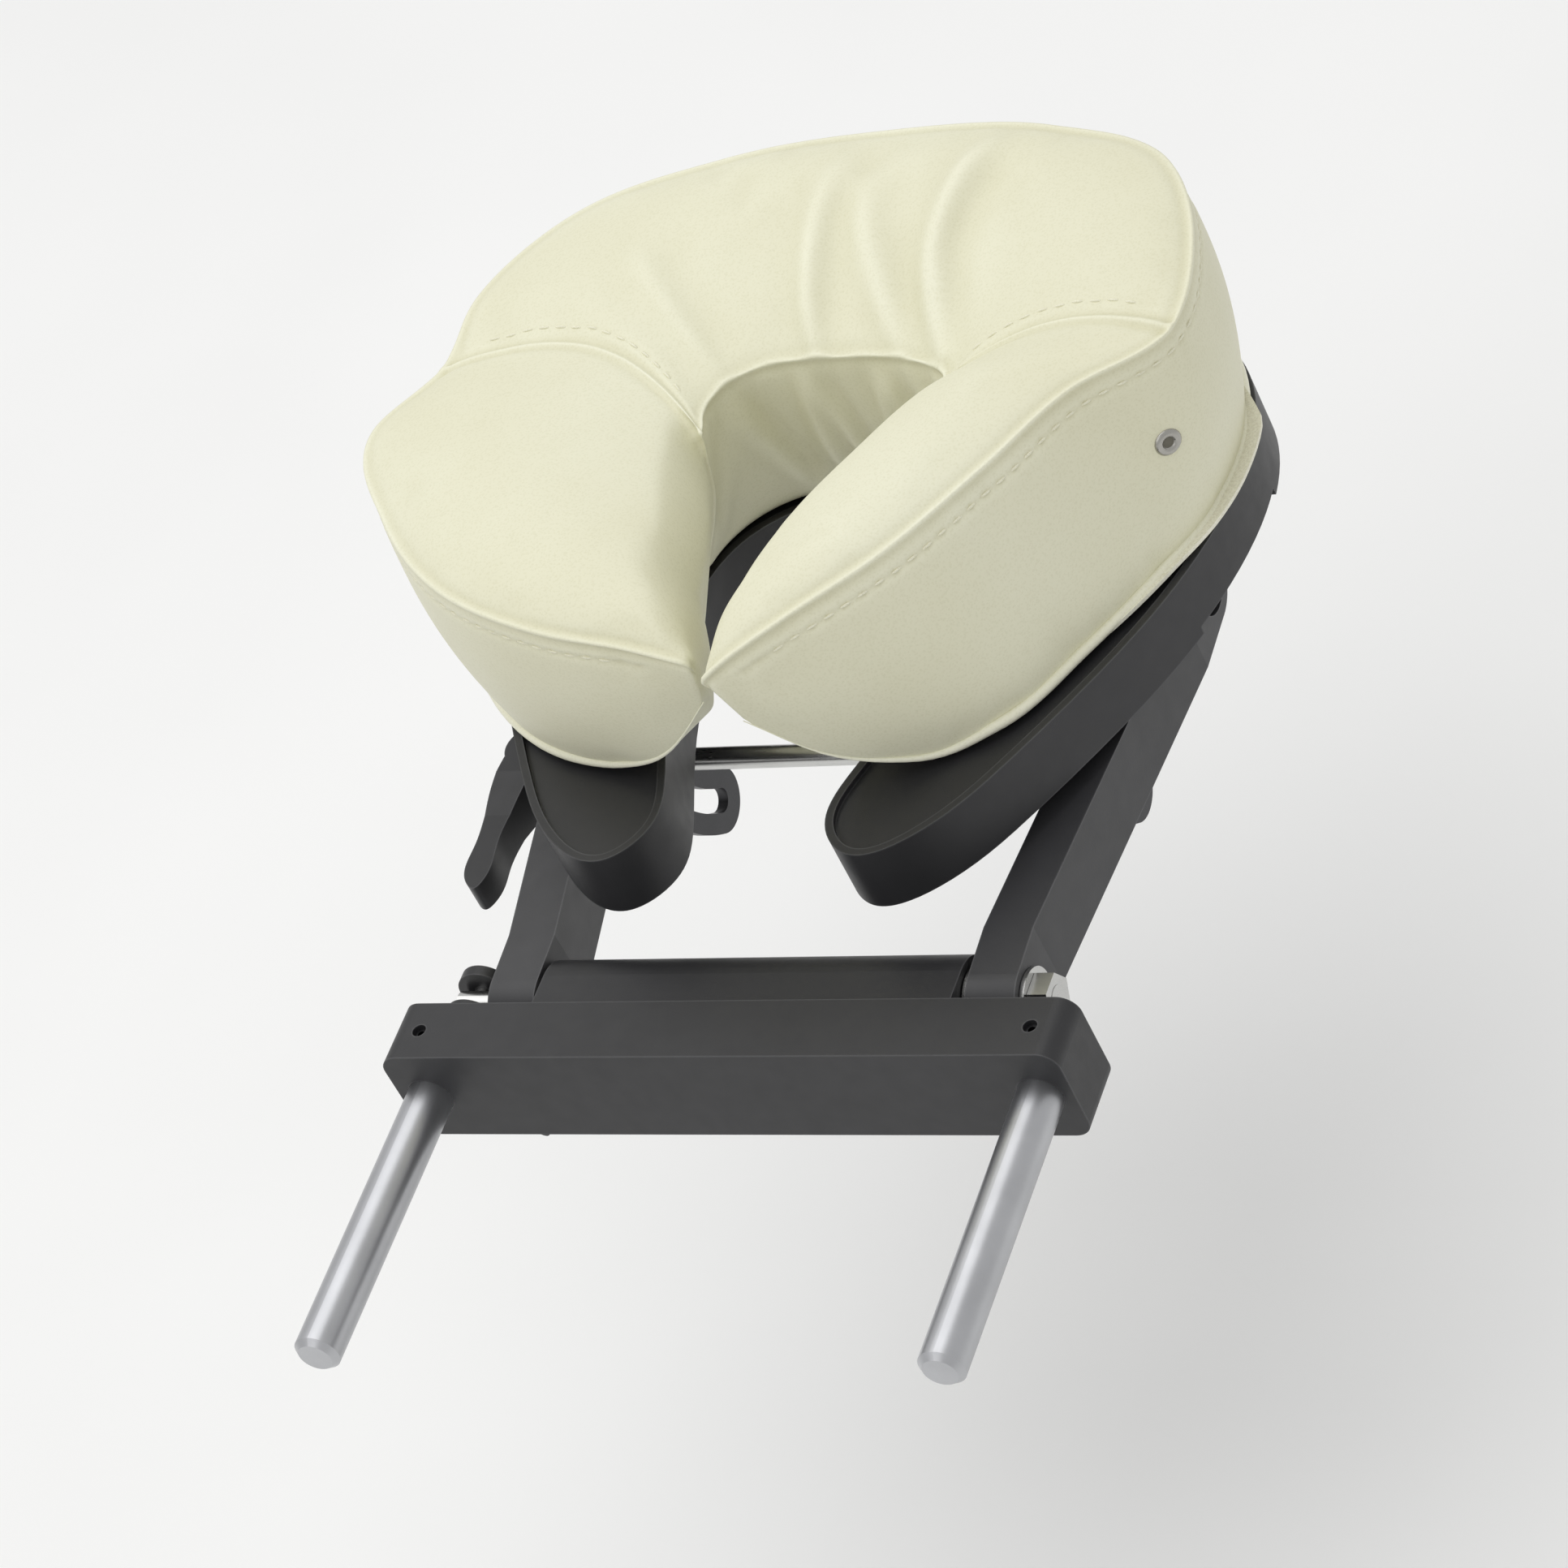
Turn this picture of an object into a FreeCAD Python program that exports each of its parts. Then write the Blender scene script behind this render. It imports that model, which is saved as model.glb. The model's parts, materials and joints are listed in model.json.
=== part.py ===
import FreeCAD, Part
import math
import os

# Face cradle for a massage table: a horseshoe cushion on a tilting platform, two arms and a peg-in base.
# +X is to the user's right, +Y points away from the table, +Z is up. All sizes are millimetres.
# Origin: centre of the crossbar's face that meets the end of the table.

V = FreeCAD.Vector

# Base
PEG_SPACING = 228.0
PEG_RADIUS = 8.0
PEG_LENGTH = 110.0
TENON_RADIUS = 6.0
TENON_LENGTH = 18.0
PEG_SEAT = 3.0
PEG_NECK_RADIUS = 7.6
BAR_LENGTH = 252.0
BAR_DEPTH = 24.0
BAR_HEIGHT = 40.0
AXLE_Y = 40.0
AXLE_RADIUS = 5.0
BLOCK_RADIUS = 15.0
HINGE_ROOM = 2.4
WASHER_THICKNESS = 1.6
WASHER_RADIUS = 12.0
AXLE_NUT_SEAT = 1.8
AXLE_NUT_FLATS = 16.0
AXLE_NUT_THICKNESS = 7.0
GRUB_RADIUS = 2.5

# Quick-release cams
CAM_SIZE = 9.7
CAM_THROW = 0.5
CAM_SEAT = CAM_SIZE + CAM_THROW + 0.3
CHEEK_INNER = 5.5
CHEEK_OUTER = 9.6
CAM_PIN_RADIUS = 3.0
PAD_RADIUS = 11.0
PAD_THICKNESS = 1.5
HANDLE_LENGTH = 62.0
ROD_PAST_PIN = 6.0

# Arms
ARM_THICKNESS = 18.0
ARM_RADIUS = 14.0
ARM_BASE_X = 90.0
ARM_TOP_X = 107.0
PIVOT_Y = 212.0
PIVOT_Z = 12.0
PIVOT_RADIUS = 4.0
HEAD_RADIUS = 6.5
RECESS_RADIUS = 9.5
RECESS_DEPTH = 6.0
CLAMP_Y = 145.0
CLAMP_RADIUS = 4.0
CLAMP_BOSS_X = 112.0
CLAMP_BOSS_RADIUS = 13.0
CLAMP_ROD_END = 104.0
NUT_FLATS = 13.0
SPACER_RADIUS = 8.0
DISC_RADIUS = 11.5
DISC_THICKNESS = 2.4

# Platform
RIM_TOP = 52.0
RIM_BOTTOM = 27.0
RIM_WALL = 3.0
PLATE_TOP = 50.0
PLATE_THICKNESS = 3.5
STEP_HEIGHT = 3.0
STEP_START_Y = 176.0
STEP_END_Y = 240.0
STEP_INNER_X = 95.0
RIB_THICKNESS = 3.0
LONG_RIB_THICKNESS = 5.0
CROSS_RIBS_Y = (105, 142, 187, 232, 262, 292)
END_RIBS_X = (-40.5, 0, 40.5)
QUADRANT_X = 81.0
QUADRANT_THICKNESS = 4.0
QUADRANT_HALF_WIDTH = 12.0
TILT_RANGE = 45.0
HUB_RADIUS = 11.0
FLANGE_START_Y = 148.0
FLANGE_END_Y = 216.0
FLANGE_SCREWS_Y = (158.0, 174.0)
FLANGE_SCREWS_Z = 36.0
FLANGE_SCREW_RADIUS = 2.0
STRIP_THICKNESS = 1.2

# Cushion
COVER = 1.6
BOARD_THICKNESS = 5.0
CUSHION_BOTTOM = 52.8
CUSHION_TOP = 136.0
CREST_SEAM_Y = 206.0
TIP_SEAM_Y = 98.0
EYELET_RADIUS = 7.0
EYELET_THICKNESS = 1.4
EYELET_HEIGHT = 46.0
WELT_HEIGHT = 3.5
WELT_WIDTH = 2.0

# Play between parts that turn, and between parts that only pass each other
RUNNING = 0.05
GAP = 0.2

# Worked out from the above
ARM_OUTER_BASE = ARM_BASE_X + ARM_THICKNESS / 2
ARM_INNER_BASE = ARM_BASE_X - ARM_THICKNESS / 2
ARM_OUTER_TOP = ARM_TOP_X + ARM_THICKNESS / 2
ARM_INNER_TOP = ARM_TOP_X - ARM_THICKNESS / 2
LOWER_CAM_X = -(ARM_OUTER_BASE + GAP + PAD_THICKNESS + CAM_SEAT)
UPPER_CAM_X = -(CLAMP_BOSS_X + GAP + PAD_THICKNESS + CAM_SEAT)
CLAMP_Z = PIVOT_Z * (CLAMP_Y - AXLE_Y) / (PIVOT_Y - AXLE_Y)
CLAMP_REACH = math.hypot(PIVOT_Y - CLAMP_Y, PIVOT_Z - CLAMP_Z)
CLAMP_ANGLE = math.degrees(math.atan2(PIVOT_Z - CLAMP_Z, PIVOT_Y - CLAMP_Y))
QUADRANT_INNER = QUADRANT_X - QUADRANT_THICKNESS / 2
QUADRANT_OUTER = QUADRANT_X + QUADRANT_THICKNESS / 2
BOARD_BOTTOM = CUSHION_BOTTOM + COVER + GAP
FOAM_BOTTOM = BOARD_BOTTOM + BOARD_THICKNESS + GAP
FOAM_TOP = CUSHION_TOP - COVER - GAP

# Right half of each horseshoe: from the centre line down the opening's edge, round the tip of the
# prong or lobe, and along the outside to the centre line at the far end
PLATFORM = [(0, 225), (24, 221), (44, 206), (53, 180), (52, 150), (44, 120), (35, 94), (33, 72), (46, 58),
            (70, 68), (90, 94), (108, 126), (124, 160), (136, 202), (138, 236), (130, 268), (108, 295),
            (74, 312), (36, 318), (0, 319)]
CUSHION = [(0, 219), (19, 216), (34, 206), (40, 190), (37, 174), (28, 154), (18, 134), (10, 114), (5, 98),
           (4, 84), (12, 73), (38, 80), (70, 100), (102, 132), (124, 161), (141, 188), (149, 214),
           (147, 240), (134, 266), (110, 287), (75, 302), (38, 309), (0, 311)]
EYELET_POINT = 15

# Right seam between lobe and crest: where it starts outside, a point on its arc, and where it ends
LOBE_SEAM = [(156, 198), (96, 216), (28, 178)]

# Hook-and-loop patches, as x0, x1, y0, y1: two that have a twin on the left, and one across the far end
SIDE_PATCHES = [(60, 82, 112, 166), (92, 118, 224, 262)]
END_PATCH = (-40, 40, 268, 292)


def half_curve(points):
    """Smooth curve through a half outline that meets the centre line square."""
    curve = Part.BSplineCurve()
    curve.interpolate(Points=[V(x, y, 0) for x, y in points], InitialTangent=V(1, 0, 0),
                      FinalTangent=V(-1, 0, 0), Scale=False)
    return curve


def outward_normal(points, place):
    """Unit normal that points out of the horseshoe at one of its outline's points."""
    curve = half_curve(points)
    along = curve.tangent(curve.parameter(V(place[0], place[1], 0)))[0]
    along.normalize()
    return V(along.y, -along.x, 0)


def inset(points, distance):
    """The half outline moved inwards by a distance, point by point along its normals."""
    moved = [(0, points[0][1] + distance)]
    for place in points[1:-1]:
        normal = outward_normal(points, place)
        moved.append((place[0] - normal.x * distance, place[1] - normal.y * distance))
    return moved + [(0, points[-1][1] - distance)]


def prism(points, bottom, top):
    """Straight-sided solid on the whole horseshoe."""
    right = half_curve(points).toShape()
    left = right.mirror(V(0, 0, 0), V(1, 0, 0))
    solid = Part.Face(Part.Wire([right, left])).extrude(V(0, 0, top - bottom))
    solid.translate(V(0, 0, bottom))
    return solid


def box(x0, x1, y0, y1, z0, z1):
    return Part.makeBox(x1 - x0, y1 - y0, z1 - z0, V(x0, y0, z0))


def rod_x(radius, x0, x1, y, z):
    """Round bar along X."""
    return Part.makeCylinder(radius, x1 - x0, V(x0, y, z), V(1, 0, 0))


def tube_x(outer, bore, x0, x1, y, z):
    return rod_x(outer, x0, x1, y, z).cut(rod_x(bore, x0 - 1, x1 + 1, y, z))


def hexagon_x(across_flats, x0, x1, y, z):
    """Hexagonal bar along X."""
    reach = across_flats / math.sqrt(3)
    corners = [V(x0, y + reach * math.cos(math.radians(a)), z + reach * math.sin(math.radians(a)))
               for a in range(0, 361, 60)]
    return Part.Face(Part.makePolygon(corners)).extrude(V(x1 - x0, 0, 0))


def mirrored(shape):
    """The same part for the other side."""
    return shape.mirror(V(0, 0, 0), V(1, 0, 0))


def polygon_z(points, bottom, top):
    corners = [V(x, y, bottom) for x, y in points + points[:1]]
    return Part.Face(Part.makePolygon(corners)).extrude(V(0, 0, top - bottom))


def edges_along(shape, direction, least):
    """Straight edges along a direction and longer than a length."""
    found = []
    for edge in shape.Edges:
        if isinstance(edge.Curve, Part.Line) and edge.Length > least:
            if abs(edge.Curve.Direction.dot(direction)) > 0.999:
                found.append(edge)
    return found


# Base ---------------------------------------------------------------------------------------------

def base_crossbar():
    """Moulded bar against the table with the hinge block between the arms."""
    half = BAR_LENGTH / 2
    bar = box(-half, half, 0, BAR_DEPTH, -BAR_HEIGHT / 2, BAR_HEIGHT / 2)
    bar = bar.makeFillet(7.0, edges_along(bar, V(0, 1, 0), 10))
    reach = ARM_INNER_BASE - HINGE_ROOM
    block = box(-reach, reach, BAR_DEPTH - 1, AXLE_Y, -BLOCK_RADIUS, BLOCK_RADIUS)
    block = block.fuse(rod_x(BLOCK_RADIUS, -reach, reach, AXLE_Y, 0))
    relief = box(-reach + 26, reach - 26, BAR_DEPTH + 3, AXLE_Y + 20, -BLOCK_RADIUS - 1, -4)
    body = bar.fuse(block).cut(relief)
    body = body.cut(rod_x(AXLE_RADIUS + RUNNING, -half, half, AXLE_Y, 0))
    for side in (-1, 1):
        x = side * PEG_SPACING / 2
        body = body.cut(Part.makeCylinder(TENON_RADIUS, TENON_LENGTH, V(x, 0, 0), V(0, 1, 0)))
        body = body.cut(Part.makeCylinder(PEG_RADIUS + RUNNING, PEG_SEAT, V(x, 0, 0), V(0, 1, 0)))
        body = body.cut(Part.makeCylinder(GRUB_RADIUS, BAR_HEIGHT, V(x, BAR_DEPTH / 2, TENON_RADIUS - 1)))
    return body.removeSplitter()


def peg(side):
    """Round alloy peg for the table's end socket, its neck seated in the crossbar's counterbore."""
    x = side * PEG_SPACING / 2
    shank = Part.makeCylinder(PEG_RADIUS, PEG_LENGTH, V(x, -PEG_LENGTH, 0), V(0, 1, 0))
    rims = [edge for edge in shank.Edges if abs(edge.BoundBox.YMax + PEG_LENGTH) < 0.01]
    shank = shank.makeChamfer(2.0, rims)
    neck = Part.makeCylinder(PEG_NECK_RADIUS, PEG_SEAT - GAP, V(x, 0, 0), V(0, 1, 0))
    tenon = Part.makeCylinder(TENON_RADIUS, TENON_LENGTH - GAP, V(x, 0, 0), V(0, 1, 0))
    return shank.fuse([neck, tenon]).removeSplitter()


def peg_screws():
    """Grub screws that hold the pegs' tenons in the crossbar."""
    screws = []
    for side in (-1, 1):
        x = side * PEG_SPACING / 2
        top = BAR_HEIGHT / 2 - 2
        bottom = TENON_RADIUS + GAP
        screw = Part.makeCylinder(GRUB_RADIUS, top - bottom, V(x, BAR_DEPTH / 2, bottom))
        socket = Part.makeCylinder(1.4, 4, V(x, BAR_DEPTH / 2, top - 4))
        screws.append(screw.cut(socket))
    return Part.makeCompound(screws)


def cam_lever():
    """Quick-release lever: pin along Z at the origin, cam face towards +X, handle along -Y."""
    height = 2 * CHEEK_OUTER
    head = Part.makeCylinder(CAM_SIZE, height, V(CAM_THROW, 0, -CHEEK_OUTER))
    edge = Part.BSplineCurve()
    edge.interpolate(Points=[V(-8, -5, 0), V(-8.5, -22, 0), V(-6.5, -44, 0), V(-4, -HANDLE_LENGTH + 2, 0),
                             V(0.5, -HANDLE_LENGTH - 1, 0), V(3, -HANDLE_LENGTH + 3, 0), V(2.5, -44, 0),
                             V(3.5, -24, 0), V(8, -6, 0)])
    outline = Part.Wire([edge.toShape(), Part.LineSegment(V(8, -6, 0), V(-8, -5, 0)).toShape()])
    handle = Part.Face(outline).extrude(V(0, 0, height))
    handle.translate(V(0, 0, -CHEEK_OUTER))
    slot = box(-20, 20, -10.2, 20, -CHEEK_INNER, CHEEK_INNER)
    sides = Part.Face(Part.makePolygon([
        V(0, 12, -CHEEK_OUTER), V(0, -12, -CHEEK_OUTER), V(0, -30, -6.5), V(0, -HANDLE_LENGTH - 3, -5.5),
        V(0, -HANDLE_LENGTH - 3, 5.5), V(0, -30, 6.5), V(0, -12, CHEEK_OUTER), V(0, 12, CHEEK_OUTER),
        V(0, 12, -CHEEK_OUTER)])).extrude(V(50, 0, 0))
    sides.translate(V(-25, 0, 0))
    lever = head.fuse(handle).cut(slot).common(sides)
    hole = Part.makeCylinder(CAM_PIN_RADIUS + RUNNING, height + 2, V(0, 0, -CHEEK_OUTER - 1))
    return lever.cut(hole).removeSplitter()


def cam_pin():
    return Part.makeCylinder(CAM_PIN_RADIUS, 2 * CHEEK_OUTER + 2, V(0, 0, -CHEEK_OUTER - 1))


def at_lower_cam(shape):
    """Turned so that the pin runs along Y and the handle hangs down beside the base."""
    placed = shape.copy()
    placed.rotate(V(0, 0, 0), V(1, 0, 0), 90)
    placed.translate(V(LOWER_CAM_X, AXLE_Y, 0))
    return placed


def at_upper_cam(shape):
    """The handle lies beside the left arm, towards the table."""
    placed = shape.copy()
    placed.translate(V(UPPER_CAM_X, CLAMP_Y, CLAMP_Z))
    return placed


def rod_end(rod, pin_x, pin_hole):
    """Ends a rod a little past its cam pin and crosses it with the pin's hole."""
    return rod.cut(pin_hole).common(box(pin_x - ROD_PAST_PIN, 400, -400, 400, -400, 400))


def cam_pin_hole():
    return Part.makeCylinder(CAM_PIN_RADIUS, 40, V(0, 0, -20))


def base_axle():
    nut_end = ARM_OUTER_BASE + AXLE_NUT_SEAT + AXLE_NUT_THICKNESS
    rod = rod_x(AXLE_RADIUS, LOWER_CAM_X - ROD_PAST_PIN, nut_end + GAP, AXLE_Y, 0)
    return rod_end(rod, LOWER_CAM_X, at_lower_cam(cam_pin_hole()))


def base_axle_nut():
    x0 = ARM_OUTER_BASE + AXLE_NUT_SEAT
    nut = hexagon_x(AXLE_NUT_FLATS, x0, x0 + AXLE_NUT_THICKNESS, AXLE_Y, 0)
    return nut.cut(rod_x(AXLE_RADIUS, x0 - 1, x0 + 20, AXLE_Y, 0))


def base_washers():
    """Washers beside the hinge block and under the nut."""
    bore = AXLE_RADIUS + RUNNING
    inner = ARM_INNER_BASE - (HINGE_ROOM + WASHER_THICKNESS) / 2
    right = tube_x(WASHER_RADIUS, bore, inner, inner + WASHER_THICKNESS, AXLE_Y, 0)
    x0 = ARM_OUTER_BASE + GAP
    outside = tube_x(PAD_RADIUS, bore, x0, x0 + PAD_THICKNESS, AXLE_Y, 0)
    return Part.makeCompound([right, mirrored(right), outside])


def lower_cam_pad():
    x0 = ARM_OUTER_BASE + GAP
    return mirrored(tube_x(PAD_RADIUS, AXLE_RADIUS + RUNNING, x0, x0 + PAD_THICKNESS, AXLE_Y, 0))


# Arms ---------------------------------------------------------------------------------------------

def stadium(radius, x0, x1):
    """Side shape of an arm: two round ends joined by tangent flanks."""
    slope = math.atan2(PIVOT_Z, PIVOT_Y - AXLE_Y)
    up = V(0, -math.sin(slope), math.cos(slope)) * radius
    low = V(x0, AXLE_Y, 0)
    high = V(x0, PIVOT_Y, PIVOT_Z)
    flank = Part.Face(Part.makePolygon([low + up, high + up, high - up, low - up, low + up]))
    solid = flank.extrude(V(x1 - x0, 0, 0))
    solid = solid.fuse(rod_x(radius, x0, x1, AXLE_Y, 0))
    return solid.fuse(rod_x(radius, x0, x1, PIVOT_Y, PIVOT_Z)).removeSplitter()


def arm_blank():
    """Right arm without holes: it stands further out at the platform than at the base."""
    plan = [(ARM_INNER_BASE, 10), (ARM_OUTER_BASE, 10), (ARM_OUTER_BASE, 58), (ARM_OUTER_TOP, 190),
            (ARM_OUTER_TOP, 240), (ARM_INNER_TOP, 240), (ARM_INNER_TOP, 190), (ARM_INNER_BASE, 58)]
    blank = polygon_z(plan, -30, 50).common(stadium(ARM_RADIUS, 60, 140)).removeSplitter()
    blank = blank.cut(rod_x(AXLE_RADIUS + RUNNING, 0, 200, AXLE_Y, 0))
    blank = blank.cut(rod_x(PIVOT_RADIUS + RUNNING, 0, 200, PIVOT_Y, PIVOT_Z))
    return blank.cut(rod_x(RECESS_RADIUS, ARM_OUTER_TOP - RECESS_DEPTH, 200, PIVOT_Y, PIVOT_Z))


def arm_right():
    """The clamp rod screws into a blind hole in its inner face."""
    return arm_blank().cut(rod_x(CLAMP_RADIUS, 60, CLAMP_ROD_END, CLAMP_Y, CLAMP_Z))


def arm_left():
    """The clamp rod passes through, and a flat boss seats the cam's pad."""
    boss = rod_x(CLAMP_BOSS_RADIUS, ARM_INNER_TOP + 2, CLAMP_BOSS_X, CLAMP_Y, CLAMP_Z)
    arm = arm_blank().fuse(boss).cut(rod_x(CLAMP_RADIUS + RUNNING, 60, 130, CLAMP_Y, CLAMP_Z))
    return mirrored(arm.removeSplitter())


def pivot_bolt():
    """Right pivot bolt: round head with a hexagonal socket, down in the arm's recess."""
    seat = ARM_OUTER_TOP - RECESS_DEPTH + GAP
    shank = rod_x(PIVOT_RADIUS, QUADRANT_INNER - 9, seat + 1, PIVOT_Y, PIVOT_Z)
    head = rod_x(HEAD_RADIUS, seat, seat + 4.5, PIVOT_Y, PIVOT_Z)
    rims = [edge for edge in head.Edges if edge.BoundBox.XMin > seat + 4]
    head = head.makeFillet(1.2, rims)
    return shank.fuse(head).cut(hexagon_x(5.0, seat + 1.8, seat + 9, PIVOT_Y, PIVOT_Z)).removeSplitter()


def pivot_nuts():
    x1 = QUADRANT_INNER - GAP
    nut = hexagon_x(NUT_FLATS, x1 - 6.5, x1, PIVOT_Y, PIVOT_Z)
    nut = nut.cut(rod_x(PIVOT_RADIUS, x1 - 20, x1 + 5, PIVOT_Y, PIVOT_Z))
    return Part.makeCompound([nut, mirrored(nut)])


def pivot_spacers():
    x0 = QUADRANT_OUTER + GAP
    spacer = tube_x(SPACER_RADIUS, PIVOT_RADIUS + RUNNING, x0, ARM_INNER_TOP - GAP, PIVOT_Y, PIVOT_Z)
    return Part.makeCompound([spacer, mirrored(spacer)])


def clamp_rod():
    rod = rod_x(CLAMP_RADIUS, UPPER_CAM_X - ROD_PAST_PIN, CLAMP_ROD_END - GAP, CLAMP_Y, CLAMP_Z)
    return rod_end(rod, UPPER_CAM_X, at_upper_cam(cam_pin_hole()))


def friction_discs():
    """Fibre discs that grip the quadrants when the cam is closed."""
    x0 = QUADRANT_OUTER + GAP
    disc = tube_x(DISC_RADIUS, CLAMP_RADIUS + RUNNING, x0, x0 + DISC_THICKNESS, CLAMP_Y, CLAMP_Z)
    return Part.makeCompound([disc, mirrored(disc)])


def clamp_nuts():
    x0 = QUADRANT_OUTER + DISC_THICKNESS + 2 * GAP
    nut = hexagon_x(NUT_FLATS, x0, x0 + 4.6, CLAMP_Y, CLAMP_Z)
    nut = nut.cut(rod_x(CLAMP_RADIUS, x0 - 1, x0 + 9, CLAMP_Y, CLAMP_Z))
    return Part.makeCompound([nut, mirrored(nut)])


def upper_cam_pad():
    x0 = CLAMP_BOSS_X + GAP
    return mirrored(tube_x(PAD_RADIUS, CLAMP_RADIUS + RUNNING, x0, x0 + PAD_THICKNESS, CLAMP_Y, CLAMP_Z))


# Platform -----------------------------------------------------------------------------------------

def platform_tray():
    """Horseshoe tray with a lip, a deep rim all round and stiffening ribs underneath."""
    outside = prism(PLATFORM, RIM_BOTTOM, RIM_TOP)
    dish = prism(inset(PLATFORM, RIM_WALL), PLATE_TOP, RIM_TOP + 5)
    hollow = prism(inset(PLATFORM, RIM_WALL), RIM_BOTTOM - 5, PLATE_TOP - PLATE_THICKNESS)
    half = RIB_THICKNESS / 2
    top = PLATE_TOP - 1
    rib = box(QUADRANT_OUTER, QUADRANT_OUTER + LONG_RIB_THICKNESS, 90, 300, RIM_BOTTOM, top)
    ribs = [rib, mirrored(rib)]
    for y in CROSS_RIBS_Y:
        ribs.append(box(-150, 150, y - half, y + half, RIM_BOTTOM + 6, top))
    for x in END_RIBS_X:
        ribs.append(box(x - half, x + half, PLATFORM[0][1] + 1, 330, RIM_BOTTOM + 6, top))
    web = ribs[0].multiFuse(ribs[1:]).common(prism(inset(PLATFORM, RIM_WALL / 2), 0, 100))
    tray = outside.cut(dish).cut(hollow).fuse(web)
    steps = box(-200, 200, STEP_START_Y, STEP_END_Y, RIM_BOTTOM - 5, RIM_BOTTOM + STEP_HEIGHT)
    tray = tray.cut(steps.cut(box(-STEP_INNER_X, STEP_INNER_X, 0, 400, 0, 100)))
    pocket = box(QUADRANT_INNER - GAP, QUADRANT_OUTER, FLANGE_START_Y - 8, FLANGE_END_Y + 10,
                 RIM_BOTTOM - 5, PLATE_TOP - PLATE_THICKNESS)
    tray = tray.cut(pocket).cut(mirrored(pocket))
    return tray.cut(screw_shanks()).removeSplitter()


def screw_shanks():
    """Holes for the screws that hold the quadrants to the long ribs."""
    holes = []
    length = QUADRANT_THICKNESS + 4
    for y in FLANGE_SCREWS_Y:
        hole = rod_x(FLANGE_SCREW_RADIUS, QUADRANT_INNER, QUADRANT_INNER + length, y, FLANGE_SCREWS_Z)
        holes += [hole, mirrored(hole)]
    return holes[0].multiFuse(holes[1:])


def ring_sector(radius, half_width, start, end):
    """Slice of a ring about the platform's pivot, in degrees below the line towards the table."""
    start, end = sorted((start, end))
    ring = tube_x(radius + half_width, radius - half_width, QUADRANT_INNER, QUADRANT_OUTER, PIVOT_Y, PIVOT_Z)
    corners = [V(QUADRANT_INNER, PIVOT_Y, PIVOT_Z)]
    steps = 6
    for number in range(steps + 1):
        angle = math.radians(start + (end - start) * number / steps)
        corners.append(V(QUADRANT_INNER, PIVOT_Y - 200 * math.cos(angle), PIVOT_Z - 200 * math.sin(angle)))
    corners.append(corners[0])
    wedge = Part.Face(Part.makePolygon(corners)).extrude(V(QUADRANT_THICKNESS, 0, 0))
    return ring.common(wedge)


def round_at(angle, radius):
    """Disc centred on the clamp rod's path at an angle below the line towards the table."""
    y = PIVOT_Y - CLAMP_REACH * math.cos(math.radians(angle))
    z = PIVOT_Z - CLAMP_REACH * math.sin(math.radians(angle))
    return rod_x(radius, QUADRANT_INNER, QUADRANT_OUTER, y, z)


def quadrant():
    """Right tilt quadrant: hub on the pivot, curved slot for the clamp rod, flange to the tray."""
    last = CLAMP_ANGLE + TILT_RANGE + 1
    sector = ring_sector(CLAMP_REACH, QUADRANT_HALF_WIDTH, -30, last)
    sector = sector.fuse(round_at(last, QUADRANT_HALF_WIDTH))
    sector = sector.cut(box(0, 200, 0, 400, PLATE_TOP - PLATE_THICKNESS, 200))
    flange = box(QUADRANT_INNER, QUADRANT_OUTER, FLANGE_START_Y, FLANGE_END_Y,
                 RIM_BOTTOM - 3, PLATE_TOP - PLATE_THICKNESS)
    neck = box(QUADRANT_INNER, QUADRANT_OUTER, PIVOT_Y - HUB_RADIUS, PIVOT_Y + HUB_RADIUS, PIVOT_Z, 30)
    hub = rod_x(HUB_RADIUS, QUADRANT_INNER, QUADRANT_OUTER, PIVOT_Y, PIVOT_Z)
    plate = sector.fuse(flange).fuse(neck).fuse(hub)
    slot_half = CLAMP_RADIUS + 0.4
    slot = ring_sector(CLAMP_REACH, slot_half, CLAMP_ANGLE, CLAMP_ANGLE + TILT_RANGE)
    slot = slot.fuse(round_at(CLAMP_ANGLE, slot_half)).fuse(round_at(CLAMP_ANGLE + TILT_RANGE, slot_half))
    plate = plate.cut(slot).cut(rod_x(PIVOT_RADIUS + RUNNING, 0, 200, PIVOT_Y, PIVOT_Z))
    return plate.cut(screw_shanks()).removeSplitter()


def quadrant_screws():
    screws = []
    z = FLANGE_SCREWS_Z
    for y in FLANGE_SCREWS_Y:
        head = rod_x(2 * FLANGE_SCREW_RADIUS, QUADRANT_INNER - 2.6, QUADRANT_INNER, y, z)
        shank = rod_x(FLANGE_SCREW_RADIUS, QUADRANT_INNER - 1, QUADRANT_OUTER + 3.8, y, z)
        socket = hexagon_x(3.0, QUADRANT_INNER - 4, QUADRANT_INNER - 1, y, z)
        screw = head.fuse(shank).removeSplitter().cut(socket)
        screws += [screw, mirrored(screw)]
    return Part.makeCompound(screws)


def fastener_strips(bottom, top):
    """Hook-and-loop patches: one on each prong, one at each far corner and one across the far end."""
    patches = [box(*place, bottom, top) for place in SIDE_PATCHES]
    patches += [mirrored(patch) for patch in patches]
    patches.append(box(*END_PATCH, bottom, top))
    return Part.makeCompound(patches)


# Cushion ------------------------------------------------------------------------------------------

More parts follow.
